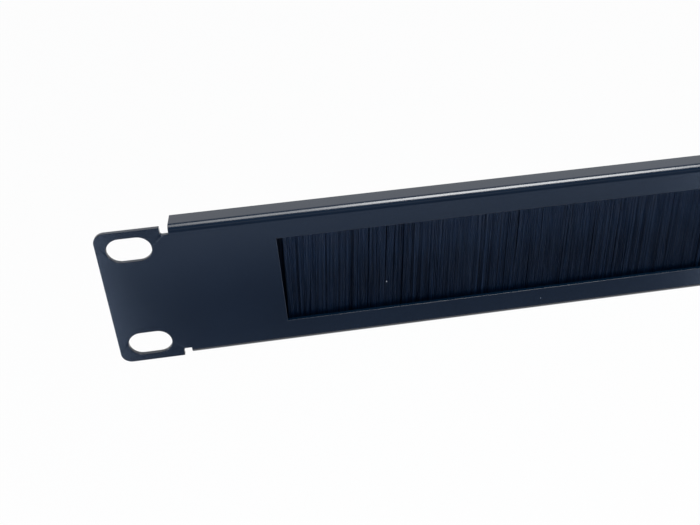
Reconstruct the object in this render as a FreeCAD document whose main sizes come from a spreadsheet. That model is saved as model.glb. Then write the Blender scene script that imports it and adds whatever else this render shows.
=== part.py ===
import FreeCAD, Part
import math
import os
import Sketcher
from FreeCAD import Rotation, Vector

# A 19-inch rack panel, one unit high: a folded steel sheet with a wide window and a strip brush
# hanging behind it, which cables pass through.
#
# Frame: X to the right seen from the front, Y to the back, Z up. The origin is the centre of the
# rack hole pattern on the rear face of the ears, so the sheet's front face is at -sheet_thick.

SIZES = {
    # folded sheet
    "panel_wide": 482.6,
    "panel_high": 43.6,
    "sheet_thick": 1.2,
    "ear_wide": 17.5,
    "ear_radius": 3.0,
    "notch_wide": 2.2,
    "notch_past_bend": 0.4,
    "notch_radius": 0.6,
    "flange_deep": 6.2,
    "bend_radius": 2.0,
    # rack slots, 465.1 mm apart across the rack and 31.75 mm in height
    "slot_inset": 8.75,
    "slot_drop": 5.925,
    "slot_long": 12.0,
    "slot_high": 7.6,
    # window
    "side_bar": 47.8,
    "bar_high": 7.65,
    # strip brush
    "wire_radius": 0.7,
    "pack_thick": 3.0,
    "pack_clear": 0.1,
    "channel_wall": 0.5,
    "channel_high": 4.0,
    "mouth_high": 0.9,
    "brush_past_window": 5.5,
    "ridge_deep": 0.5,
    "tuft_pitch": 3.35,
    "tip_gap": 0.5,
    "tip_long": 5.0,
    "tip_uneven": 1.2,
    "tips_below_window": 4.2,
    "lean_angle": 5.3,
    # extruded rail that the strip brush slides into
    "rail_wall": 0.8,
    "rail_roof": 1.6,
    "lip_high": 0.8,
    "lip_reach": 0.4,
    "rail_round": 1.0,
    "rail_edge": 0.4,
    "rail_past_brush": 18.0,
    # clips and their fixings
    "clip_wide": 12.0,
    "clip_thick": 1.2,
    "clip_bend": 0.4,
    "clip_tongue": 4.4,
    "clip_foot": 5.5,
    "stud_drop": 5.6,
    "stud_radius": 2.0,
    "stud_long": 7.0,
    "stud_tip": 0.4,
    "hole_clear": 0.25,
    "washer_radius": 4.5,
    "washer_thick": 0.8,
    "washer_clear": 0.15,
    "nut_across_flats": 7.0,
    "nut_high": 3.2,
    "nut_chamfer": 0.45,
}

# Places worked out from the sizes, as expressions of the sheet. Each is measured from the origin.
HALF_WIDE = "(sizes.panel_wide / 2)"
HALF_HIGH = "(sizes.panel_high / 2)"
EAR_EDGE = f"({HALF_WIDE} - sizes.ear_wide)"
FLANGE_END = f"({EAR_EDGE} - sizes.notch_wide)"
NOTCH_FLOOR = f"({HALF_HIGH} - sizes.bend_radius - sizes.notch_past_bend)"
FLANGE_BACK = "(sizes.flange_deep - sizes.sheet_thick)"
FLANGE_INSIDE = f"({HALF_HIGH} - sizes.sheet_thick)"
SLOT_SIDE = f"({HALF_WIDE} - sizes.slot_inset)"
SLOT_LEVEL = f"({HALF_HIGH} - sizes.slot_drop)"
WINDOW_SIDE = f"({HALF_WIDE} - sizes.side_bar)"
WINDOW_EDGE = f"({HALF_HIGH} - sizes.bar_high)"

# The rail hangs under the top flange, the channel stands on its lips under its roof.
CHANNEL_HALF = "(sizes.pack_thick / 2 + sizes.pack_clear + sizes.channel_wall)"
CHANNEL_TOP = f"({FLANGE_INSIDE} - sizes.rail_roof)"
CHANNEL_MOUTH = f"({CHANNEL_TOP} - sizes.channel_high)"
RAIL_BOTTOM = f"({CHANNEL_MOUTH} - sizes.lip_high)"
RAIL_BACK = f"(2 * {CHANNEL_HALF} + 2 * sizes.rail_wall)"
BRUSH_MIDDLE = f"({RAIL_BACK} / 2)"
BRUSH_END = f"({WINDOW_SIDE} + sizes.brush_past_window)"
RAIL_END = f"({BRUSH_END} + sizes.rail_past_brush)"
WIRE_HIGH = f"({CHANNEL_TOP} - sizes.channel_wall - sizes.pack_thick / 2)"
TIPS = f"(-{WINDOW_EDGE} - sizes.tips_below_window)"

# Each clip ends flush with the rail, its foot stands on the sheet below the rail.
CLIP_MIDDLE = f"({RAIL_END} - sizes.clip_wide / 2)"
CLIP_UNDER = f"({RAIL_BOTTOM} - sizes.clip_thick)"
STUD_HIGH = f"({CLIP_UNDER} - sizes.stud_drop)"
CLIP_LOW = f"({STUD_HIGH} - sizes.clip_foot)"

doc = FreeCAD.newDocument("rack_brush_strip_panel")
sheet = doc.addObject("Spreadsheet::Sheet", "sizes")
for row, (alias, size) in enumerate(SIZES.items(), start=1):
    sheet.set(f"A{row}", alias)
    sheet.set(f"B{row}", str(size))
    sheet.setAlias(f"B{row}", alias)
doc.recompute()

parts = []


def number(expression):
    """The value of an expression of the sheet, in millimetres or degrees."""
    return float(sheet.evalExpression(expression))


def new_body(label):
    body = doc.addObject("PartDesign::Body", label)
    body.Label = label
    return body


def keep(part, label):
    """Names a finished sub-part, whose label becomes its file's name."""
    part.Label = label
    parts.append(part)
    return part


def sketch_on(body, name, role):
    """An empty sketch on one of the body's own origin planes."""
    sketch = body.newObject("Sketcher::SketchObject", name)
    plane = next(face for face in body.Origin.OriginFeatures if face.Role == role)
    sketch.AttachmentSupport = (plane, "")
    sketch.MapMode = "FlatFace"
    return sketch


def pin(sketch, geometry, point, along, up):
    """Holds one point of a sketch at two expressions, measured from the origin."""
    for kind, expression in (("DistanceX", along), ("DistanceY", up)):
        place = number(expression)
        row = sketch.addConstraint(Sketcher.Constraint(kind, -1, 1, geometry, point, place))
        sketch.setExpression(f"Constraints[{row}]", expression)


def add_outline(sketch, corners):
    """Closes straight lines through corners, each one a pair of expressions."""
    first = sketch.GeometryCount
    count = len(corners)
    places = [Vector(number(along), number(up), 0) for along, up in corners]
    for index in range(count):
        line = Part.LineSegment(places[index], places[(index + 1) % count])
        sketch.addGeometry(line)
    for index in range(count):
        after = first + (index + 1) % count
        sketch.addConstraint(Sketcher.Constraint("Coincident", first + index, 2, after, 1))
    for index, (along, up) in enumerate(corners):
        pin(sketch, first + index, 1, along, up)


def add_rectangle(sketch, left, right, low, high):
    add_outline(sketch, [(left, low), (right, low), (right, high), (left, high)])


def add_slot(sketch, middle, level):
    """One rack slot: two straight sides and two round ends."""
    first = sketch.GeometryCount
    radius = number("sizes.slot_high / 2")
    reach = number("(sizes.slot_long - sizes.slot_high) / 2")
    centre = Vector(number(middle), number(level), 0)
    right = centre + Vector(reach, 0, 0)
    left = centre - Vector(reach, 0, 0)
    rise = Vector(0, radius, 0)
    normal = Vector(0, 0, 1)
    quarter = math.pi / 2
    sketch.addGeometry(Part.LineSegment(left + rise, right + rise))
    sketch.addGeometry(Part.ArcOfCircle(Part.Circle(right, normal, radius), -quarter, quarter))
    sketch.addGeometry(Part.LineSegment(right - rise, left - rise))
    sketch.addGeometry(Part.ArcOfCircle(Part.Circle(left, normal, radius), quarter, 3 * quarter))
    top, right_end, bottom, left_end = range(first, first + 4)
    sketch.addConstraint(Sketcher.Constraint("Tangent", top, 2, right_end, 2))
    sketch.addConstraint(Sketcher.Constraint("Tangent", bottom, 1, right_end, 1))
    sketch.addConstraint(Sketcher.Constraint("Tangent", bottom, 2, left_end, 2))
    sketch.addConstraint(Sketcher.Constraint("Tangent", top, 1, left_end, 1))
    half_reach = "(sizes.slot_long - sizes.slot_high) / 2"
    pin(sketch, right_end, 3, f"{middle} + {half_reach}", level)
    pin(sketch, left_end, 3, f"{middle} - {half_reach}", level)
    row = sketch.addConstraint(Sketcher.Constraint("Radius", right_end, radius))
    sketch.setExpression(f"Constraints[{row}]", "sizes.slot_high / 2")


def pad(body, sketch, length, symmetric=False):
    feature = body.newObject("PartDesign::Pad", f"{sketch.Name}_pad")
    feature.Profile = sketch
    feature.SideType = "Symmetric" if symmetric else "One side"
    feature.setExpression("Length", length)
    body.Tip = feature
    doc.recompute()
    return feature


def cut_through(body, sketch):
    """Cuts a sketch through the whole body, both ways, and makes sure that it removed something."""
    before = body.Shape.Volume
    feature = body.newObject("PartDesign::Pocket", f"{sketch.Name}_pocket")
    feature.Profile = sketch
    feature.Type = "ThroughAll"
    feature.SideType = "Symmetric"
    body.Tip = feature
    doc.recompute()
    if not body.Shape.Volume < before:
        raise RuntimeError(f"{feature.Name} cut nothing")
    return feature


def round_edges(body, name, radius, chosen):
    """Fillets the edges of the body whose middle passes the test."""
    base = body.Tip
    names = []
    for index, edge in enumerate(base.Shape.Edges, start=1):
        if chosen(edge, edge.CenterOfMass):
            names.append(f"Edge{index}")
    feature = body.newObject("PartDesign::Fillet", name)
    feature.Base = (base, names)
    feature.setExpression("Radius", radius)
    body.Tip = feature
    doc.recompute()
    return feature


def near(first, second):
    return abs(first - second) < 0.01


def runs_along(edge, axis):
    """True for a straight edge parallel to an axis."""
    ends = edge.Vertexes
    if len(ends) != 2 or edge.Curve.TypeId != "Part::GeomLine":
        return False
    return (ends[1].Point - ends[0].Point).normalize().cross(axis).Length < 0.001


def front_panel():
    """One sheet: plain ears, bars above and below the window, and both long edges folded back."""
    body = new_body("front_panel")
    outline = sketch_on(body, "sheet_outline", "XZ_Plane")
    add_rectangle(outline, f"-{HALF_WIDE}", HALF_WIDE, f"-{HALF_HIGH}", HALF_HIGH)
    pad(body, outline, "sizes.sheet_thick")

    # The strips between the ears go, down to the floor of the relief notches.
    strips = sketch_on(body, "edge_strips", "XZ_Plane")
    past = f"({HALF_HIGH} + sizes.sheet_thick)"
    add_rectangle(strips, f"-{EAR_EDGE}", EAR_EDGE, NOTCH_FLOOR, past)
    add_rectangle(strips, f"-{EAR_EDGE}", EAR_EDGE, f"-{past}", f"-{NOTCH_FLOOR}")
    cut_through(body, strips)
    corner = number(EAR_EDGE)
    floor = number(NOTCH_FLOOR)
    round_edges(body, "notch_corners", "sizes.notch_radius", lambda edge, middle: (
        runs_along(edge, Vector(0, 1, 0)) and near(abs(middle.x), corner)
        and near(abs(middle.z), floor)))

    # The fold: a C section between the notches, first with square corners.
    fold = sketch_on(body, "fold_section", "YZ_Plane")
    add_outline(fold, [
        ("-sizes.sheet_thick", f"-{HALF_HIGH}"), (FLANGE_BACK, f"-{HALF_HIGH}"),
        (FLANGE_BACK, f"-{FLANGE_INSIDE}"), ("0", f"-{FLANGE_INSIDE}"),
        ("0", FLANGE_INSIDE), (FLANGE_BACK, FLANGE_INSIDE),
        (FLANGE_BACK, HALF_HIGH), ("-sizes.sheet_thick", HALF_HIGH)])
    pad(body, fold, f"2 * {FLANGE_END}", symmetric=True)

    window = sketch_on(body, "window", "XZ_Plane")
    add_rectangle(window, f"-{WINDOW_SIDE}", WINDOW_SIDE, f"-{WINDOW_EDGE}", WINDOW_EDGE)
    cut_through(body, window)

    slots = sketch_on(body, "rack_slots", "XZ_Plane")
    for side in ("-", ""):
        for level in ("-", ""):
            add_slot(slots, f"{side}{SLOT_SIDE}", f"{level}{SLOT_LEVEL}")
    cut_through(body, slots)

    front = -number("sizes.sheet_thick")
    top = number(HALF_HIGH)
    inside = number(FLANGE_INSIDE)
    long_axis = Vector(1, 0, 0)
    round_edges(body, "bend_outside", "sizes.bend_radius", lambda edge, middle: (
        runs_along(edge, long_axis) and near(middle.x, 0)
        and near(middle.y, front) and near(abs(middle.z), top)))
    round_edges(body, "bend_inside", "sizes.bend_radius - sizes.sheet_thick",
                lambda edge, middle: (
                    runs_along(edge, long_axis) and near(middle.x, 0)
                    and near(middle.y, 0) and near(abs(middle.z), inside)))
    end = number(HALF_WIDE)
    round_edges(body, "ear_corners", "sizes.ear_radius", lambda edge, middle: (
        runs_along(edge, Vector(0, 1, 0)) and near(abs(middle.x), end)
        and near(abs(middle.z), top)))
    return body


def brush_rail():
    """Extruded rail: roof, two walls, and a lip under each wall that the channel stands on."""
    body = new_body("brush_rail")
    section = sketch_on(body, "rail_section", "YZ_Plane")
    inner_front = "sizes.rail_wall"
    inner_back = f"({RAIL_BACK} - sizes.rail_wall)"
    roof = f"{RAIL_BOTTOM} + sizes.lip_high + sizes.channel_high"
    lip_top = f"{RAIL_BOTTOM} + sizes.lip_high"
    add_outline(section, [
        ("0", RAIL_BOTTOM), (f"{inner_front} + sizes.lip_reach", RAIL_BOTTOM),
        (f"{inner_front} + sizes.lip_reach", lip_top), (inner_front, lip_top),
        (inner_front, roof), (inner_back, roof), (inner_back, lip_top),
        (f"{inner_back} - sizes.lip_reach", lip_top),
        (f"{inner_back} - sizes.lip_reach", RAIL_BOTTOM), (RAIL_BACK, RAIL_BOTTOM),
        (RAIL_BACK, FLANGE_INSIDE), ("0", FLANGE_INSIDE)])
    pad(body, section, f"2 * {RAIL_END}", symmetric=True)
    back = number(RAIL_BACK)
    top = number(FLANGE_INSIDE)
    bottom = number(RAIL_BOTTOM)
    long_axis = Vector(1, 0, 0)
    round_edges(body, "rail_back_round", "sizes.rail_round", lambda edge, middle: (
        runs_along(edge, long_axis) and near(middle.y, back) and near(middle.z, top)))
    # The front corner clears the inside of the sheet's bend.
    round_edges(body, "rail_front_round", "sizes.bend_radius - sizes.sheet_thick + sizes.rail_edge / 2",
                lambda edge, middle: (
                    runs_along(edge, long_axis) and near(middle.y, 0) and near(middle.z, top)))
    round_edges(body, "rail_bottom_edges", "sizes.rail_edge", lambda edge, middle: (
        runs_along(edge, long_axis) and near(middle.z, bottom)
        and (near(middle.y, 0) or near(middle.y, back))))
    return body


def brush_channel():
    """Thin steel bent to a U over the filament heads, its mouth pinched onto them."""
    body = new_body("brush_channel")
    section = sketch_on(body, "channel_section", "YZ_Plane")
    reach = CHANNEL_HALF
    inner = "(sizes.pack_thick / 2 + sizes.pack_clear)"
    grip = "(sizes.pack_thick / 2)"
    outer_grip = f"({grip} + sizes.channel_wall)"
    inner_top = f"{CHANNEL_TOP} - sizes.channel_wall"
    pinch = f"{CHANNEL_MOUTH} + sizes.mouth_high"
    back_half = [
        (f"{BRUSH_MIDDLE} + {grip}", CHANNEL_MOUTH), (f"{BRUSH_MIDDLE} + {outer_grip}", CHANNEL_MOUTH),
        (f"{BRUSH_MIDDLE} + {reach}", pinch), (f"{BRUSH_MIDDLE} + {reach}", CHANNEL_TOP)]
    front_half = [
        (f"{BRUSH_MIDDLE} - {reach}", CHANNEL_TOP), (f"{BRUSH_MIDDLE} - {reach}", pinch),
        (f"{BRUSH_MIDDLE} - {outer_grip}", CHANNEL_MOUTH), (f"{BRUSH_MIDDLE} - {grip}", CHANNEL_MOUTH)]
    inside = [
        (f"{BRUSH_MIDDLE} - {inner}", pinch), (f"{BRUSH_MIDDLE} - {inner}", inner_top),
        (f"{BRUSH_MIDDLE} + {inner}", inner_top), (f"{BRUSH_MIDDLE} + {inner}", pinch)]
    add_outline(section, back_half + front_half + inside)
    pad(body, section, f"2 * {BRUSH_END}", symmetric=True)
    top = number(CHANNEL_TOP)
    round_edges(body, "channel_top_round", "sizes.channel_wall", lambda edge, middle: (
        runs_along(edge, Vector(1, 0, 0)) and near(middle.z, top)))
    return body


def core_wire():
    wire = doc.addObject("Part::Cylinder", "core_wire")
    wire.setExpression("Radius", "sizes.wire_radius")
    wire.setExpression("Height", f"2 * {BRUSH_END}")
    wire.Placement.Rotation = Rotation(Vector(0, 1, 0), 90)
    wire.setExpression("Placement.Base.x", f"-{BRUSH_END}")
    wire.setExpression("Placement.Base.y", BRUSH_MIDDLE)
    wire.setExpression("Placement.Base.z", WIRE_HIGH)
    return wire


def filament_heads(end, mouth):
    """The doubled ends: a bar with a round top, folded over the wire."""
    half = number("sizes.pack_thick / 2")
    middle = number(BRUSH_MIDDLE)
    level = number(WIRE_HIGH)
    start = Vector(-end, middle - half, mouth)
    front_top = Vector(-end, middle - half, level)
    crown = Vector(-end, middle, level + half)
    back_top = Vector(-end, middle + half, level)
    finish = Vector(-end, middle + half, mouth)
    section = Part.Wire([
        Part.makeLine(start, front_top), Part.Arc(front_top, crown, back_top).toShape(),
        Part.makeLine(back_top, finish), Part.makeLine(finish, start)])
    bar = Part.Face(section).extrude(Vector(2 * end, 0, 0))
    wire = Part.makeCylinder(number("sizes.wire_radius"), 2 * end, Vector(-end, middle, level),
                             Vector(1, 0, 0))
    return bar.cut(wire)


def tuft_outline(centre, half_wide, level, ridge, valley):
    """Plan of one tuft: six corners, the ridge front and back standing out past its sides."""
    middle = number(BRUSH_MIDDLE)
    return [
        Vector(centre - half_wide, middle - valley, level), Vector(centre, middle - ridge, level),
        Vector(centre + half_wide, middle - valley, level),
        Vector(centre + half_wide, middle + valley, level), Vector(centre, middle + ridge, level),
        Vector(centre - half_wide, middle + valley, level)]


def bristles():
    """The curtain: a ridged wall of filaments that leans to the left, then separate uneven tips."""
    end = number(BRUSH_END)
    mouth = number(CHANNEL_MOUTH)
    ridge = number("sizes.pack_thick / 2")
    valley = ridge - number("sizes.ridge_deep")
    tips = number(TIPS)
    tip_long = number("sizes.tip_long")
    slope = math.tan(math.radians(number("sizes.lean_angle")))
    count = int(2 * end / number("sizes.tuft_pitch"))
    pitch = 2 * end / count
    centres = [-end + (index + 0.5) * pitch for index in range(count)]

    tufts = [tuft_outline(centre, pitch / 2, mouth, ridge, valley) for centre in centres]
    front = [corner for tuft in tufts for corner in tuft[:2]] + [tufts[-1][2]]
    back = [corner for tuft in reversed(tufts) for corner in tuft[3:5]] + [tufts[0][5]]
    wall_high = mouth - tips - tip_long
    plan = Part.Face(Part.makePolygon(front + back + [front[0]]))
    wall = plan.extrude(Vector(-slope * wall_high, 0, -wall_high))

    half_wide = (pitch - number("sizes.tip_gap")) / 2
    fingers = []
    for index, centre in enumerate(centres):
        shift = centre - slope * wall_high
        loop = tuft_outline(shift, half_wide, tips + tip_long, ridge, valley)
        drop = tip_long - number("sizes.tip_uneven") * (0.5 + 0.5 * math.sin(2.4 * index))
        finger = Part.Face(Part.makePolygon(loop + [loop[0]]))
        fingers.append(finger.extrude(Vector(-slope * drop, 0, -drop)))

    curtain = doc.addObject("Part::Feature", "bristles")
    curtain.Shape = filament_heads(end, mouth).multiFuse([wall] + fingers).removeSplitter()
    curtain.Placement = FreeCAD.Placement()
    return curtain


def clip(label, side):
    """A folded strip: its foot on the sheet, its arm under the rail, its tongue behind the rail."""
    body = new_body(label)
    section = sketch_on(body, f"{label}_section", "YZ_Plane")
    outside = f"{RAIL_BACK} + sizes.clip_thick"
    tongue_top = f"{RAIL_BOTTOM} + sizes.clip_tongue"
    add_outline(section, [
        ("0", CLIP_LOW), ("sizes.clip_thick", CLIP_LOW), ("sizes.clip_thick", CLIP_UNDER),
        (outside, CLIP_UNDER), (outside, tongue_top), (RAIL_BACK, tongue_top),
        (RAIL_BACK, RAIL_BOTTOM), ("0", RAIL_BOTTOM)])
    pad(body, section, "sizes.clip_wide", symmetric=True)

    hole = sketch_on(body, f"{label}_hole", "XZ_Plane")
    radius = number("sizes.stud_radius + sizes.hole_clear")
    circle = Part.Circle(Vector(0, number(STUD_HIGH), 0), Vector(0, 0, 1), radius)
    hole.addGeometry(circle)
    hole.addConstraint(Sketcher.Constraint("PointOnObject", 0, 3, -2))
    row = hole.addConstraint(Sketcher.Constraint("DistanceY", -1, 1, 0, 3, number(STUD_HIGH)))
    hole.setExpression(f"Constraints[{row}]", STUD_HIGH)
    row = hole.addConstraint(Sketcher.Constraint("Radius", 0, radius))
    hole.setExpression(f"Constraints[{row}]", "sizes.stud_radius + sizes.hole_clear")
    cut_through(body, hole)

    bends = [(0, number(RAIL_BOTTOM)), (number(outside), number(CLIP_UNDER))]
    hollows = [(number("sizes.clip_thick"), number(CLIP_UNDER)),
               (number(RAIL_BACK), number(RAIL_BOTTOM))]
    long_axis = Vector(1, 0, 0)
    round_edges(body, f"{label}_outer_bends", "sizes.clip_thick + sizes.clip_bend",
                lambda edge, middle: runs_along(edge, long_axis) and any(
                    near(middle.y, y) and near(middle.z, z) for y, z in bends))
    round_edges(body, f"{label}_inner_bends", "sizes.clip_bend",
                lambda edge, middle: runs_along(edge, long_axis) and any(
                    near(middle.y, y) and near(middle.z, z) for y, z in hollows))
    body.setExpression("Placement.Base.x", f"{side}{CLIP_MIDDLE}")
    return body


def stand_behind(solid, side, depth):
    """Turns a solid made along Z to point to the back, at one stud's place."""
    solid.Placement.Rotation = Rotation(Vector(1, 0, 0), -90)
    solid.setExpression("Placement.Base.x", f"{side}{CLIP_MIDDLE}")
    solid.setExpression("Placement.Base.y", depth)
    solid.setExpression("Placement.Base.z", STUD_HIGH)
    return solid


def cylinder(name, radius, height):
    solid = doc.addObject("Part::Cylinder", name)
    solid.setExpression("Radius", radius)
    solid.setExpression("Height", height)
    return solid


def two_part(kind, name, base, tool):
    solid = doc.addObject(kind, name)
    solid.Base = base
    solid.Tool = tool
    return solid


def stud(side, place):
    """A threaded stud with a tapered tip, kept plain."""
    shank = cylinder(f"{place}_shank", "sizes.stud_radius", "sizes.stud_long - sizes.stud_tip")
    tip = doc.addObject("Part::Cone", f"{place}_tip")
    tip.setExpression("Radius1", "sizes.stud_radius")
    tip.setExpression("Radius2", "sizes.stud_radius - sizes.stud_tip")
    tip.setExpression("Height", "sizes.stud_tip")
    tip.setExpression("Placement.Base.z", "sizes.stud_long - sizes.stud_tip")
    return stand_behind(two_part("Part::Fuse", f"{place}_stud", shank, tip), side, "0")


def washer(side, place):
    disc = cylinder(f"{place}_disc", "sizes.washer_radius", "sizes.washer_thick")
    bore = cylinder(f"{place}_washer_bore", "sizes.stud_radius + sizes.washer_clear",
                    "sizes.washer_thick")
    ring = two_part("Part::Cut", f"{place}_washer", disc, bore)
    return stand_behind(ring, side, "sizes.clip_thick")


def nut(side, place):
    """A hexagon nut with chamfered corners, its thread kept as a plain bore on the stud."""
    prism = doc.addObject("Part::Prism", f"{place}_hexagon")
    prism.Polygon = 6
    corner = "sizes.nut_across_flats / 2 / cos(30)"
    prism.setExpression("Circumradius", corner)
    prism.setExpression("Height", "sizes.nut_high")
    round_blank = cylinder(f"{place}_round", corner, "sizes.nut_high")
    doc.recompute()
    turned = doc.addObject("Part::Chamfer", f"{place}_turned")
    turned.Base = round_blank
    chamfer = number("sizes.nut_chamfer")
    turned.Edges = [(index, chamfer, chamfer) for index, edge in enumerate(round_blank.Shape.Edges, 1)
                    if edge.Curve.TypeId == "Part::GeomCircle"]
    blank = two_part("Part::Common", f"{place}_blank", prism, turned)
    bore = cylinder(f"{place}_nut_bore", "sizes.stud_radius", "sizes.nut_high")
    solid = two_part("Part::Cut", f"{place}_nut", blank, bore)
    return stand_behind(solid, side, "sizes.clip_thick + sizes.washer_thick")


def pair(label, maker):
    """Two equal fixings, left and right, kept as one group of separate solids."""
    group = doc.addObject("Part::Compound", label)
    group.Links = [maker("-", f"left_{label}"), maker("", f"right_{label}")]
    return group


keep(front_panel(), "front_panel")
keep(brush_rail(), "brush_rail")
keep(brush_channel(), "brush_channel")
keep(core_wire(), "core_wire")
keep(bristles(), "bristles")
keep(clip("left_clip", "-"), "left_clip")
keep(clip("right_clip", ""), "right_clip")
keep(pair("weld_studs", stud), "weld_studs")
keep(pair("washers", washer), "washers")
keep(pair("lock_nuts", nut), "lock_nuts")
doc.recompute()

for item in doc.Objects:
    if "Invalid" in item.State or "Error" in item.State:
        raise RuntimeError(f"{item.Label} did not build: {item.State}")
for part in parts:
    if part.Shape.isNull() or not part.Shape.isValid():
        raise RuntimeError(f"{part.Label} is not a valid solid")

os.makedirs("parts", exist_ok=True)
for part in parts:
    part.Shape.exportStep(os.path.join("parts", f"{part.Label}.step"))
    box = part.Shape.BoundBox
    print(f"{part.Label}: {len(part.Shape.Solids)} solids, volume {part.Shape.Volume:.1f}, "
          f"{box.XLength:.2f} x {box.YLength:.2f} x {box.ZLength:.2f}")
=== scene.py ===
import math

import bmesh
import bpy
import numpy as np
from mathutils import Euler, Matrix, Vector


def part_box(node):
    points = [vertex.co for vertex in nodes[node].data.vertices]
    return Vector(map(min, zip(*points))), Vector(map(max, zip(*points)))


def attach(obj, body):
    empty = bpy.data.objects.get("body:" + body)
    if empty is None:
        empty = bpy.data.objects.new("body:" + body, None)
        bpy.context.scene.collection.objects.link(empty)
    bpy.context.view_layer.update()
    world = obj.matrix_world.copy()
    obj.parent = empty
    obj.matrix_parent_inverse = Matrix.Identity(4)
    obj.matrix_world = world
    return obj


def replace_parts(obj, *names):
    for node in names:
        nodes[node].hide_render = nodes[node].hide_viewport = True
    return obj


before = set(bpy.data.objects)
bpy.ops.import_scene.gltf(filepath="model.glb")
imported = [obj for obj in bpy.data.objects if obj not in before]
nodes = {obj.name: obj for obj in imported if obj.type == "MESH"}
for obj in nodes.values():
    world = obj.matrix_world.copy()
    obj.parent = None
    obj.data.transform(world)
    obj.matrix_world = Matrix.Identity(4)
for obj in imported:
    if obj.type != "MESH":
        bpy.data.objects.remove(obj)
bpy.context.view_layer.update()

# Looks of a black rack panel with a strip brush behind its window. Metres, +Z up, front at -Y.

MM = 0.001
IMAGE = Vector((700, 525))
scene = bpy.context.scene
random = np.random.default_rng(41)

# Camera, as worked out from the panel's standard sizes in the photograph
CAMERA_PLACE = Vector((-176.8, -229.0, 162.7)) * MM
CAMERA_TURN = (61.25, 2.31, -8.68)
CAMERA_FOCUS = 978.0
CAMERA_CENTRE = Vector((440.2, 148.0))
SENSOR = 36.0

# Strip brush: its threads, with the places of their rings from root to tip
FILAMENT_RADIUS = 0.105 * MM
RADIUS_RANGE = (0.85, 1.15)
FILAMENT_SIDES = 4
TURN_SPREAD = 0.15
RINGS = np.array([0.0, 0.33, 0.67, 1.0])
ROOT_JITTER = 0.1 * MM
LEAN = math.tan(math.radians(5.3))
LEAN_SPREAD = 0.006
FLARE = 1.0 * MM
WANDER = 0.05 * MM
BOW = 0.12 * MM
TIP_RISE = 0.1 * MM
TIP_SPREAD = 0.8 * MM
SHADE_MIDDLE = 0.5
SHADE_SPREAD = 0.12

# Threads left of this place stand further back and are darkened by painted shadow of the window's
# edge; those beside it hang straighter
SUNK_END = -191.9 * MM
SUNK_DEPTH = 1.0 * MM
SUNK_PAINTED_SHADOW = 0.55
STRAIGHTER = 0.045
STRAIGHTER_REACH = 5 * MM

# Clumps of threads, from left of the brush to right of it
CLUMPS_START = -0.25
CLUMPS_LENGTH = 0.6
WIDE_CLUMP = 6 * MM
FINE_CLUMP = 0.8 * MM

# Narrow gaps between the threads, in groups
SLITS_REACH = 0.2
SLITS = 420
SLIT_GROUPS = 60
SLIT_HALF_WIDTH = 0.075 * MM
SLIT_REACH = 0.5 * MM

# Closed middle of the brush and its doubled heads
CORE_HALF = 0.7 * MM
CORE_END_GAP = 0.3 * MM
CORE_FLUTES = 900
CORE_FLUTE_DEPTH = 0.35 * MM
CORE_FOOT = 1.0 * MM
CORE_FOOT_SPREAD = 0.6 * MM
HEAD_RADIUS = 1.45 * MM
HEAD_CLEARANCE = 0.02 * MM
HEAD_HOLLOW = 0.6 * MM
HEAD_STEPS = 12
HEAD_COLUMNS = 240

# Rolled thread of the studs
STUD_PITCH = 0.7 * MM
STUD_GROOVE = 0.22 * MM
STUD_FOOT = 0.6 * MM
STUD_TIP = 0.5 * MM
STUD_SIDES = 28
STUD_ROWS_PER_TURN = 8

# How much of the paper is white to the camera; the rest takes the shadows
WHITE_SHARE = 0.97

# Tint of the lamps that stand in front
COOL = (0.58, 0.73, 1.0)

# Specks of lint: pixel of the photograph, depth of the surface that carries it, radius
SPECKS = (((386.6, 281.4), 0.1 * MM, 0.2 * MM), ((540.8, 297.9), -1.25 * MM, 0.14 * MM))


def add_camera():
    data = bpy.data.cameras.new("camera")
    data.sensor_width = SENSOR
    data.lens = CAMERA_FOCUS / IMAGE.x * SENSOR
    data.shift_x = (IMAGE.x / 2 - CAMERA_CENTRE.x) / IMAGE.x
    data.shift_y = (CAMERA_CENTRE.y - IMAGE.y / 2) / IMAGE.x
    data.clip_start = 0.01
    data.clip_end = 20
    camera = bpy.data.objects.new("camera", data)
    camera.location = CAMERA_PLACE
    camera.rotation_euler = Euler([math.radians(angle) for angle in CAMERA_TURN])
    scene.collection.objects.link(camera)
    scene.camera = camera
    bpy.context.view_layer.update()


def on_plane(pixel, depth):
    """The point at Y = depth that the camera sees at a pixel of the photograph."""
    across = (pixel[0] - CAMERA_CENTRE.x) / CAMERA_FOCUS
    down = (pixel[1] - CAMERA_CENTRE.y) / CAMERA_FOCUS
    ray = scene.camera.matrix_world.to_3x3() @ Vector((across, -down, -1))
    return CAMERA_PLACE + ray * ((depth - CAMERA_PLACE.y) / ray.y)


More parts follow.
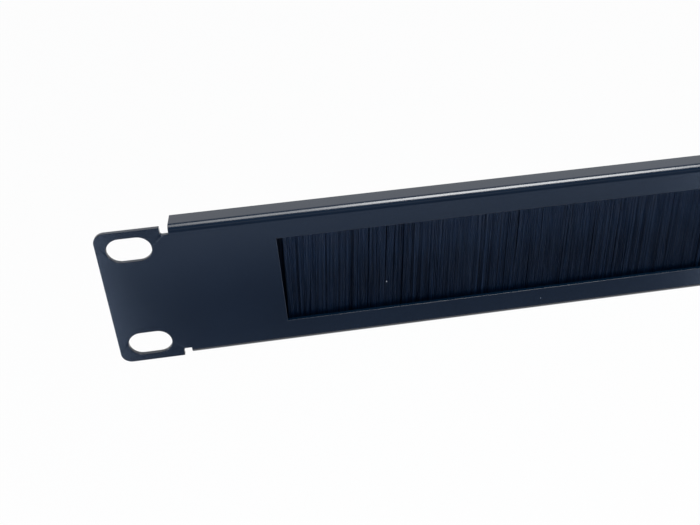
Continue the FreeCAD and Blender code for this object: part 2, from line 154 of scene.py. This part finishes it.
class Nodes:
    """Short names for building a material's node tree."""

    def __init__(self, material):
        material.use_nodes = True
        self.tree = material.node_tree
        self.tree.nodes.clear()
        self.output = self.tree.nodes.new("ShaderNodeOutputMaterial")

    def add(self, kind, **settings):
        node = self.tree.nodes.new(kind)
        for name, value in settings.items():
            setattr(node, name, value)
        return node

    def link(self, source, target):
        self.tree.links.new(source, target)

    def place(self):
        return self.add("ShaderNodeTexCoord").outputs["Object"]

    def noise(self, where, scale, detail=3.0, roughness=0.5):
        node = self.add("ShaderNodeTexNoise")
        node.inputs["Scale"].default_value = scale
        node.inputs["Detail"].default_value = detail
        node.inputs["Roughness"].default_value = roughness
        self.link(where, node.inputs["Vector"])
        return node.outputs["Fac"]

    def stretched(self, where, factors):
        node = self.add("ShaderNodeVectorMath", operation="MULTIPLY")
        node.inputs[1].default_value = factors
        self.link(where, node.inputs[0])
        return node.outputs["Vector"]

    def ramp(self, source, low, high):
        """Colours from low to high, as the source goes from 0 to 1 round its middle."""
        node = self.add("ShaderNodeValToRGB")
        node.color_ramp.elements[0].position = 0.3
        node.color_ramp.elements[1].position = 0.7
        node.color_ramp.elements[0].color = (*low, 1)
        node.color_ramp.elements[1].color = (*high, 1)
        self.link(source, node.inputs["Fac"])
        return node.outputs["Color"]

    def remap(self, source, old, new, **settings):
        """Takes the range old of the source to the range new."""
        node = self.add("ShaderNodeMapRange", **settings)
        sockets = ("From Min", "From Max", "To Min", "To Max")
        for socket, value in zip(sockets, (*old, *new)):
            node.inputs[socket].default_value = value
        self.link(source, node.inputs["Value"])
        return node.outputs["Result"]

    def span(self, source, low, high):
        """Values from low to high, as the source goes from 0 to 1 round its middle."""
        return self.remap(source, (0.3, 0.7), (low, high))

    def product(self, one, other):
        node = self.add("ShaderNodeMath", operation="MULTIPLY")
        self.link(one, node.inputs[0])
        self.link(other, node.inputs[1])
        return node.outputs["Value"]

    def bump(self, height, depth, strength=1.0, below=None):
        node = self.add("ShaderNodeBump")
        node.inputs["Strength"].default_value = strength
        node.inputs["Distance"].default_value = depth
        self.link(height, node.inputs["Height"])
        if below is not None:
            self.link(below, node.inputs["Normal"])
        return node.outputs["Normal"]

    def surface(self, **sockets):
        """The shader itself: a constant goes on its socket, an output is linked to it."""
        shader = self.add("ShaderNodeBsdfPrincipled")
        for name, value in sockets.items():
            socket = shader.inputs[name.replace("_", " ")]
            if isinstance(value, bpy.types.NodeSocket):
                self.link(value, socket)
            else:
                socket.default_value = value
        self.link(shader.outputs["BSDF"], self.output.inputs["Surface"])
        return shader


def powder_coat():
    """Fine satin black coat: a faint orange peel, a fine grain and slow changes of gloss."""
    material = bpy.data.materials.new("black_powder_coat")
    tree = Nodes(material)
    where = tree.place()
    peel = tree.noise(where, 900, 2.0)
    grain = tree.noise(where, 4200, 2.0, 0.6)
    cloud = tree.noise(where, 45, 4.0)
    colour = tree.ramp(cloud, (0.001, 0.007, 0.018), (0.0016, 0.009, 0.022))
    roughness = tree.span(cloud, 0.18, 0.20)
    relief = tree.bump(grain, 0.006 * MM, 0.5, tree.bump(peel, 0.01 * MM, 0.5))
    tree.surface(Base_Color=colour, Roughness=roughness, Normal=relief, Specular_IOR_Level=0.6)
    return material


def filament_plastic():
    """Smooth black plastic thread, each thread a little lighter or darker, with painted shade that
    makes it darker and duller towards its tip and painted light that makes it lighter and glossier
    towards the mouth.
    """
    material = bpy.data.materials.new("black_filament")
    tree = Nodes(material)
    shade = tree.add("ShaderNodeAttribute", attribute_name="shade").outputs["Fac"]
    where = tree.place()
    clumps = tree.noise(tree.stretched(where, (1.0, 0.3, 0.12)), 900, 3.0)
    height = tree.add("ShaderNodeSeparateXYZ")
    tree.link(where, height.inputs["Vector"])
    # Painted light and shade by height: colour and gloss are lighter towards the mouth and darker
    # towards the tips.
    painted_light_by_height = tree.remap(height.outputs["Z"], (-0.006, 0.018), (0.82, 1.5),
                      interpolation_type="SMOOTHERSTEP")
    mixed = tree.product(shade, tree.span(clumps, 0.9, 1.1))
    gloss = tree.product(painted_light_by_height, tree.span(mixed, 0.055, 0.195))
    colour = tree.ramp(tree.product(mixed, painted_light_by_height), (0.0009, 0.0038, 0.011), (0.0032, 0.0165, 0.043))
    tree.surface(Base_Color=colour, Roughness=0.3, Specular_IOR_Level=gloss)
    return material


def metal(name, light, dark, scale, rough, stretch=(1, 1, 1), depth=0.01 * MM):
    """A bare metal with streaks or spangles of two tones."""
    material = bpy.data.materials.new(name)
    tree = Nodes(material)
    where = tree.stretched(tree.place(), stretch)
    streaks = tree.noise(where, scale, 5.0, 0.6)
    tree.surface(Base_Color=tree.ramp(streaks, dark, light), Metallic=1.0,
                 Roughness=tree.span(streaks, *rough), Normal=tree.bump(streaks, depth, 0.5))
    return material


def dress(name, material):
    """Gives a CAD node its finish."""
    mesh = nodes[name].data
    mesh.materials.clear()
    mesh.materials.append(material)


def soften(name, width):
    """Breaks the sharp edges of a CAD node, as its coat or its tumbling does."""
    node = nodes[name]
    weld = node.modifiers.new("weld", "WELD")
    weld.merge_threshold = 0.001 * MM
    bevel = node.modifiers.new("edges", "BEVEL")
    bevel.width = width
    bevel.segments = 2
    bevel.limit_method = "ANGLE"
    bevel.angle_limit = math.radians(40)
    bevel.face_strength_mode = "FSTR_ALL"
    normals = node.modifiers.new("normals", "WEIGHTED_NORMAL")
    normals.use_face_influence = True


def new_piece(name, mesh, material):
    """A piece of the scene's own that goes with the part's one body."""
    piece = bpy.data.objects.new(name, mesh)
    scene.collection.objects.link(piece)
    mesh.materials.append(material)
    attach(piece, "root")
    return piece


def set_shade(mesh, values):
    """How light each vertex is, for the filament's material."""
    values = np.broadcast_to(values, len(mesh.vertices)).astype(np.float32)
    mesh.attributes.new("shade", "FLOAT", "POINT").data.foreach_set("value", values)


def lofted_mesh(name, bodies):
    """A mesh of closed bodies: each is a skin over rings of points, with a face at either end."""
    build = bmesh.new()
    for rings in bodies:
        rings = [[build.verts.new(point) for point in ring] for ring in rings]
        for here, there in zip(rings, rings[1:]):
            for index in range(len(here)):
                after = (index + 1) % len(here)
                build.faces.new((here[index], there[index], there[after], here[after]))
        build.faces.new(rings[0])
        build.faces.new(rings[-1][::-1])
    bmesh.ops.recalc_face_normals(build, faces=build.faces)
    mesh = bpy.data.meshes.new(name)
    build.to_mesh(mesh)
    build.free()
    return mesh


def clump_values(places, width):
    """Random values that neighbours share: one for each clump of about that width."""
    widths = random.uniform(0.4, 1.6, int(CLUMPS_LENGTH / width)) * width
    edges = CLUMPS_START + np.cumsum(widths)
    values = random.normal(0, 1.0, len(edges) + 1)
    return values[np.searchsorted(edges, places)]


def make_slits():
    """Places where the threads stand apart: along the brush, down it, and how wide."""
    groups = random.uniform(-SLITS_REACH, SLITS_REACH, SLIT_GROUPS)
    return {
        "at": random.choice(groups, SLITS) + random.normal(0, 3 * MM, SLITS),
        "level": random.uniform(0.0, 1.1, SLITS),
        "span": random.uniform(0.15, 0.7, SLITS),
        "wide": SLIT_HALF_WIDTH * random.lognormal(0, 0.6, SLITS)}


def pushed_aside(places, slits):
    """How far each ring of each thread moves off sideways to open the slits."""
    offset = places[:, None] - slits["at"][None, :]
    push = np.sign(offset) * np.exp(-np.abs(offset) / SLIT_REACH) * slits["wide"]
    open_at = np.exp(-((RINGS[:, None] - slits["level"]) / slits["span"]) ** 2)
    return push @ open_at.T


def tube_mesh(name, x, y, z, radius, turn, shade):
    """Thin tubes along the rows of x, y and z, open at the root, each with a cap at its tip."""
    count, levels = x.shape
    angles = turn[:, None] + np.arange(FILAMENT_SIDES) * math.tau / FILAMENT_SIDES
    ring_x = x[:, :, None] + radius[:, None, None] * np.cos(angles)[:, None, :]
    ring_y = y[:, :, None] + radius[:, None, None] * np.sin(angles)[:, None, :]
    ring_z = np.broadcast_to(z[:, :, None], ring_x.shape)
    tubes = np.stack([ring_x, ring_y, ring_z], axis=-1)
    verts = np.concatenate([tubes.reshape(-1, 3), tubes[:, -1].reshape(-1, 3)])
    first = np.arange(count)[:, None, None] * levels * FILAMENT_SIDES
    level = first + np.arange(levels - 1)[None, :, None] * FILAMENT_SIDES
    side = np.arange(FILAMENT_SIDES)[None, None, :]
    after = (side + 1) % FILAMENT_SIDES
    quads = np.stack([level + side, level + FILAMENT_SIDES + side,
                      level + FILAMENT_SIDES + after, level + after], axis=-1).reshape(-1, 4)
    tips = np.arange(count * FILAMENT_SIDES).reshape(count, -1)[:, ::-1] + tubes[..., 0].size
    mesh = bpy.data.meshes.new(name)
    mesh.from_pydata(verts.tolist(), [], quads.tolist() + tips.tolist())
    mesh.shade_smooth()
    set_shade(mesh, np.concatenate([np.repeat(shade, levels * FILAMENT_SIDES),
                                    np.repeat(shade, FILAMENT_SIDES)]))
    return mesh


def hanging_threads(name, count, start, finish, slits, material):
    """Threads from a part of the pack's depth, which leave the channel, lean left and flare."""
    low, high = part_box("bristles")
    channel_low, channel_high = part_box("brush_channel")
    mouth = channel_low.z
    end = channel_high.x - FILAMENT_RADIUS
    depth = high.y - low.y
    root_x = np.linspace(-end, end, count) + random.uniform(-ROOT_JITTER, ROOT_JITTER, count)
    root_x = np.clip(root_x, -end, end)
    root_y = random.uniform(low.y + FILAMENT_RADIUS + start * depth,
                            low.y + finish * depth - FILAMENT_RADIUS, count)
    outwards = (root_y - (low.y + high.y) / 2) / depth * 2
    wide = clump_values(root_x, WIDE_CLUMP)
    fine = clump_values(root_x, FINE_CLUMP)
    lean = LEAN + LEAN_SPREAD * (0.5 * wide + 0.4 * fine + random.normal(0, 0.5, count))
    lean = lean - STRAIGHTER * np.exp(-((root_x - SUNK_END) / STRAIGHTER_REACH) ** 2)
    sunk = root_x < SUNK_END
    away = FLARE * outwards + WANDER * (fine + random.normal(0, 0.6, count))
    away = away + SUNK_DEPTH * sunk
    tip_z = low.z + TIP_RISE + TIP_SPREAD * random.beta(1.2, 2.5, count)
    drop = mouth - tip_z
    bow = random.normal(0, BOW, count)
    radius = FILAMENT_RADIUS * random.uniform(*RADIUS_RANGE, count)
    turn = random.normal(math.pi / FILAMENT_SIDES, TURN_SPREAD, count)
    busy = np.clip(1 + 0.6 * wide, 0.3, 2)
    shade = np.clip(SHADE_MIDDLE + SHADE_SPREAD * busy * random.normal(0, 1, count), 0, 1)
    # Painted shadow: the threads left of SUNK_END are made darker and less glossy, for the window
    # edge's shadow.
    shade = shade * (1 - SUNK_PAINTED_SHADOW * sunk)

    x = root_x[:, None] - lean[:, None] * drop[:, None] * RINGS
    x = x + bow[:, None] * RINGS * (1 - RINGS) + pushed_aside(root_x, slits)
    x = np.clip(x, low.x + FILAMENT_RADIUS, high.x - FILAMENT_RADIUS)
    y = root_y[:, None] + away[:, None] * np.sqrt(RINGS)
    y = np.clip(y, low.y + FILAMENT_RADIUS - FLARE, high.y - FILAMENT_RADIUS + FLARE)
    z = mouth - drop[:, None] * RINGS
    mesh = tube_mesh(name, x, y, z, radius, turn, shade)
    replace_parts(new_piece(name, mesh, material), "bristles")


def bristle_core(material):
    """The closed middle of the pack: a thin leaning wall of fine flutes that stops the light, with
    painted shade for the pack's deep inside.
    """
    low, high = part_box("bristles")
    channel_low, channel_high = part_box("brush_channel")
    middle = (low.y + high.y) / 2
    top = channel_low.z
    end = channel_high.x - CORE_END_GAP
    places = np.linspace(-end, end, CORE_FLUTES)
    front = middle - CORE_HALF - random.uniform(0, CORE_FLUTE_DEPTH, CORE_FLUTES)
    back = middle + CORE_HALF + random.uniform(0, CORE_FLUTE_DEPTH, CORE_FLUTES)
    feet = low.z + CORE_FOOT + random.uniform(0, CORE_FOOT_SPREAD, CORE_FLUTES)
    rings = []
    for along, near, far, foot in zip(places, front, back, feet):
        leant = along - LEAN * (top - foot)
        rings.append([(along, near, top), (leant, near, foot),
                      (leant, far, foot), (along, far, top)])
    mesh = lofted_mesh("bristle_core", [rings])
    # Painted shade: the core takes the darkest tone and least gloss, for the shade deep inside the
    # pack.
    set_shade(mesh, 0.0)
    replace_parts(new_piece("bristle_core", mesh, material), "bristles")


def head_arc(along, centre, radius, foot):
    """Half a turn over the wire, at one place along it, with a leg down to foot on either side."""
    arc = [(along, centre.y - radius, foot)]
    for step in range(HEAD_STEPS + 1):
        angle = math.pi * step / HEAD_STEPS
        arc.append((along, centre.y - radius * math.cos(angle),
                    centre.z + radius * math.sin(angle)))
    arc.append((along, centre.y + radius, foot))
    return arc


def doubled_heads(material):
    """Where the threads fold over the wire, seen at the ends of the channel."""
    wire_low, wire_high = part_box("core_wire")
    channel_low, channel_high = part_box("brush_channel")
    centre = (wire_low + wire_high) / 2
    end = channel_high.x
    inner = (wire_high.z - wire_low.z) / 2 + HEAD_CLEARANCE
    rings = []
    for along in np.linspace(-end, end, HEAD_COLUMNS):
        outer = HEAD_RADIUS * random.uniform(0.96, 1.0)
        rings.append(head_arc(along, centre, outer, channel_low.z)
                     + head_arc(along, centre, inner, channel_low.z + HEAD_HOLLOW)[::-1])
    mesh = lofted_mesh("filament_heads", [rings])
    set_shade(mesh, 0.3)
    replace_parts(new_piece("filament_heads", mesh, material), "bristles")


def stud_rings(place, radius, length):
    """Rings of a rolled thread along +Y from the sheet, with a plain foot and a tapered tip."""
    rows = int(length / STUD_PITCH * STUD_ROWS_PER_TURN)
    rings = []
    for row in range(rows + 1):
        along = length * row / rows
        plain = min(along / STUD_FOOT, 1.0)
        taper = max(0.0, along - (length - STUD_TIP)) * 0.9
        ring = []
        for step in range(STUD_SIDES):
            angle = math.tau * step / STUD_SIDES
            phase = (along / STUD_PITCH - step / STUD_SIDES) % 1.0
            groove = STUD_GROOVE * (1 - abs(2 * phase - 1))
            reach = radius - groove * plain - taper
            ring.append((place.x + reach * math.cos(angle), place.y + along,
                         place.z + reach * math.sin(angle)))
        rings.append(ring)
    return rings


def studs(material):
    """Both weld studs, with their threads."""
    low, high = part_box("weld_studs")
    radius = (high.z - low.z) / 2
    level = (low.z + high.z) / 2
    mesh = lofted_mesh("threaded_studs", [
        stud_rings(Vector((along, low.y, level)), radius, high.y - low.y)
        for along in (low.x + radius, high.x - radius)])
    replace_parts(new_piece("threaded_studs", mesh, material), "weld_studs")


def lint(material):
    """Two specks of pale fluff, one on the bristles and one on the sheet below them."""
    mesh = bpy.data.meshes.new("lint")
    build = bmesh.new()
    for pixel, depth, size in SPECKS:
        place = on_plane(pixel, depth)
        for _ in range(3):
            turn = Matrix.Rotation(random.uniform(0, math.tau), 4, "Y")
            at = Matrix.Translation(place) @ turn @ Matrix.Diagonal((1, 0.35, 0.4, 1))
            bmesh.ops.create_icosphere(build, subdivisions=2, radius=size, matrix=at)
    build.to_mesh(mesh)
    build.free()
    mesh.shade_smooth()
    new_piece("lint", mesh, material)


def lint_fluff():
    """Matt pale fibre."""
    material = bpy.data.materials.new("lint_fluff")
    tree = Nodes(material)
    fuzz = tree.noise(tree.place(), 6000, 2.0)
    tree.surface(Base_Color=tree.ramp(fuzz, (0.50, 0.53, 0.57), (0.75, 0.78, 0.82)), Roughness=0.9)
    return material


def white_stage():
    """Pale matt paper that the camera, gloss and clear things see as white, under its shadows."""
    material = bpy.data.materials.new("paper")
    tree = Nodes(material)
    paper = tree.surface(Base_Color=(0.9, 0.9, 0.9, 1), Roughness=1.0)
    paper.inputs["Specular IOR Level"].default_value = 0.0
    white = tree.add("ShaderNodeEmission")
    white.inputs["Strength"].default_value = 1.0
    path = tree.add("ShaderNodeLightPath").outputs
    seen = path["Is Camera Ray"]
    for ray in ("Is Glossy Ray", "Is Transmission Ray"):
        either = tree.add("ShaderNodeMath", operation="MAXIMUM")
        tree.link(seen, either.inputs[0])
        tree.link(path[ray], either.inputs[1])
        seen = either.outputs["Value"]
    share = tree.add("ShaderNodeMath", operation="MULTIPLY")
    share.inputs[1].default_value = WHITE_SHARE
    tree.link(seen, share.inputs[0])
    mix = tree.add("ShaderNodeMixShader")
    tree.link(share.outputs["Value"], mix.inputs["Fac"])
    tree.link(paper.outputs["BSDF"], mix.inputs[1])
    tree.link(white.outputs["Emission"], mix.inputs[2])
    tree.link(mix.outputs["Shader"], tree.output.inputs["Surface"])
    return material


def add_sweep(material):
    """A floor well below the panel that curves up into a wall behind it."""
    floor = -0.32
    floor_start = -0.2
    wall = 1.5
    wall_top = 2.4
    bend = 0.5
    bend_steps = 12
    half = 3.0
    profile = [(floor_start, floor), (wall - bend, floor)]
    for step in range(1, bend_steps + 1):
        angle = math.pi / 2 * step / bend_steps
        profile.append((wall - bend + bend * math.sin(angle), floor + bend * (1 - math.cos(angle))))
    profile.append((wall, wall_top))
    verts = [(side * half, y, z) for y, z in profile for side in (-1, 1)]
    faces = [(2 * i, 2 * i + 1, 2 * i + 3, 2 * i + 2) for i in range(len(profile) - 1)]
    mesh = bpy.data.meshes.new("sweep")
    mesh.from_pydata(verts, [], faces)
    mesh.shade_smooth()
    mesh.materials.append(material)
    sweep = bpy.data.objects.new("sweep", mesh)
    scene.collection.objects.link(sweep)


def add_lamp(name, place, target, size, power, colour=(1, 1, 1)):
    """An area lamp that the camera doesn't see."""
    data = bpy.data.lights.new(name, "AREA")
    data.shape = "RECTANGLE"
    data.size, data.size_y = size
    data.energy = power
    data.color = colour
    lamp = bpy.data.objects.new(name, data)
    lamp.location = place
    lamp.rotation_euler = (Vector(target) - Vector(place)).to_track_quat("-Z", "Y").to_euler()
    lamp.visible_camera = False
    scene.collection.objects.link(lamp)


def add_world():
    """A dim room that is a little blue, as seen in the panel's dark coat."""
    world = bpy.data.worlds.new("room")
    scene.world = world
    world.use_nodes = True
    room = world.node_tree.nodes["Background"]
    room.inputs["Color"].default_value = (0.126, 0.156, 0.216, 1)
    room.inputs["Strength"].default_value = 1.0


scene.view_settings.view_transform = "Standard"
add_camera()
add_world()
add_sweep(white_stage())

# The highlight on the bend
add_lamp("overhead_wide", (-0.02, -0.075, 0.57), (-0.02, -0.075, 0), (0.60, 0.32), 3.1)
add_lamp("overhead_core", (-0.02, -0.075, 0.56), (-0.02, -0.075, 0), (0.28, 0.32), 2.5)

# The flange from behind, and the face from far in front
add_lamp("rim", (0.1, 1.2, 0.75), (0.1, 0, 0), (2.6, 0.9), 1.5)
add_lamp("front_high", (0.0, -1.5, 0.50), (0, 0, 0), (2.4, 0.35), 1.0)

# Slow changes of tone over the bars and the ear
add_lamp("front_strip", (-0.04, -0.30, -0.166), (-0.04, 0, 0), (0.50, 0.025), 0.046, COOL)
add_lamp("left_low", (-0.385, -0.30, -0.165), (-0.235, 0, 0), (0.05, 0.22), 0.51, COOL)
add_lamp("low_strip", (-0.06, -0.30, -0.285), (-0.06, 0, 0), (0.60, 0.03), 0.022, COOL)
add_lamp("right_low", (0.16, -0.30, -0.22), (-0.05, 0, 0), (0.10, 0.20), 0.34, COOL)

dress("front_panel", powder_coat())
soften("front_panel", 0.13 * MM)
dress("brush_rail", metal("mill_aluminium", light=(0.8, 0.81, 0.82), dark=(0.62, 0.63, 0.65),
                          scale=500, rough=(0.26, 0.4), stretch=(0.02, 1, 1)))
soften("brush_rail", 0.1 * MM)
dress("brush_channel", metal("galvanised", light=(0.62, 0.64, 0.67), dark=(0.42, 0.44, 0.47),
                             scale=260, rough=(0.3, 0.5)))
dress("core_wire", metal("drawn_wire", light=(0.6, 0.6, 0.6), dark=(0.4, 0.4, 0.4),
                         scale=600, rough=(0.25, 0.4), stretch=(0.05, 1, 1)))
zinc = metal("zinc_plate", light=(0.72, 0.73, 0.76), dark=(0.52, 0.53, 0.56),
             scale=420, rough=(0.24, 0.42), depth=0.008 * MM)
for name in ("left_clip", "right_clip", "washers", "lock_nuts"):
    dress(name, zinc)
    soften(name, 0.08 * MM)

plastic = filament_plastic()
bristle_core(plastic)
doubled_heads(plastic)
slits = make_slits()
for label, start, finish, count in (
        ("bristles_front", 0.0, 0.1, 5200), ("bristles_behind", 0.1, 0.3, 5200),
        ("bristles_middle", 0.3, 0.7, 4000), ("bristles_rear", 0.7, 1.0, 6400)):
    hanging_threads(label, count, start, finish, slits, plastic)

studs(metal("copper_flash", light=(0.78, 0.5, 0.36), dark=(0.55, 0.34, 0.25),
            scale=700, rough=(0.25, 0.4)))
lint(lint_fluff())
